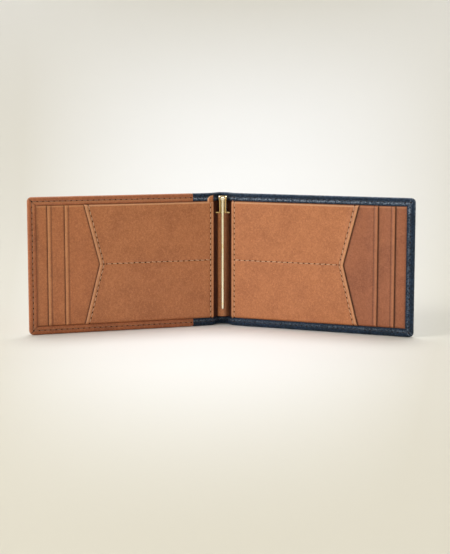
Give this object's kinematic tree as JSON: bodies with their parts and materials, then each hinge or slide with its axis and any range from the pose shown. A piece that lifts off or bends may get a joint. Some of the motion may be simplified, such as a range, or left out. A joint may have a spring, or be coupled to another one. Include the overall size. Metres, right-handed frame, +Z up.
{
  "type": "bifold money clip wallet",
  "caption": "Two-panel leather wallet standing open, with card slots, cut-back pockets, a turned stitched border and a sprung brass note clip hinged in its spine.",
  "frame": {"origin": "bottom of the spine leather, in the middle of the thickness of its back wall, on the surface the wallet stands on", "axes": "+Z up along the folds and the clip; +X to the right as seen from the inside of the open wallet; the inside faces -Y"},
  "size_m": [0.2168, 0.0462, 0.078],
  "materials": {
    "tan_leather": "satin, fine natural grain",
    "navy_leather": "satin, pebbled grain",
    "slot_leather": "satin, fine natural grain",
    "pocket_leather": "satin, fine natural grain",
    "dark_lining": "matt",
    "board": "matt fibre board",
    "tan_thread": "waxed thread",
    "blue_thread": "waxed thread",
    "brass": "polished",
    "steel": "plain spring steel"
  },
  "bodies": {
    "spine": {"spine_cover": "navy_leather", "spine_lining": "dark_lining", "spine_thread": "blue_thread", "clip_tab": "pocket_leather", "clip_base_plate": "steel", "clip_bracket": "brass", "clip_pin": "steel", "clip_spring": "steel", "clip_rivets": "brass"},
    "left_panel": {"left_cover": "tan_leather", "left_navy_strip": "navy_leather", "left_stiffener": "board", "left_lining": "slot_leather", "left_slot_1": "slot_leather", "left_slot_2": "slot_leather", "left_pocket": "pocket_leather", "left_border_thread": "tan_thread", "left_strip_thread": "blue_thread", "left_pocket_thread": "tan_thread", "left_divider_thread": "tan_thread", "left_side_thread": "tan_thread"},
    "right_panel": {"right_cover": "navy_leather", "right_stiffener": "board", "right_lining": "slot_leather", "right_slot_1": "slot_leather", "right_slot_2": "slot_leather", "right_pocket": "pocket_leather", "right_border_thread": "blue_thread", "right_pocket_thread": "tan_thread", "right_divider_thread": "tan_thread", "right_side_thread": "tan_thread"},
    "clip_arm": {"clip_arm": "brass"}
  },
  "joints": [
    {"name": "left_fold", "type": "hinge", "parent": "spine", "child": "left_panel", "pos_m": [-0.0058, -0.0064, 0], "axis": [0, 0, 1], "range_deg": [-20, 70]},
    {"name": "right_fold", "type": "hinge", "parent": "spine", "child": "right_panel", "pos_m": [0.0058, -0.0064, 0], "axis": [0, 0, -1], "range_deg": [-20, 70]},
    {"name": "clip_swing", "type": "hinge", "parent": "spine", "child": "clip_arm", "pos_m": [0, -0.00575, 0.0742], "axis": [-1, 0, 0], "range_deg": [0, 90], "stiffness_Nm_per_rad": 0.01}
  ]
}
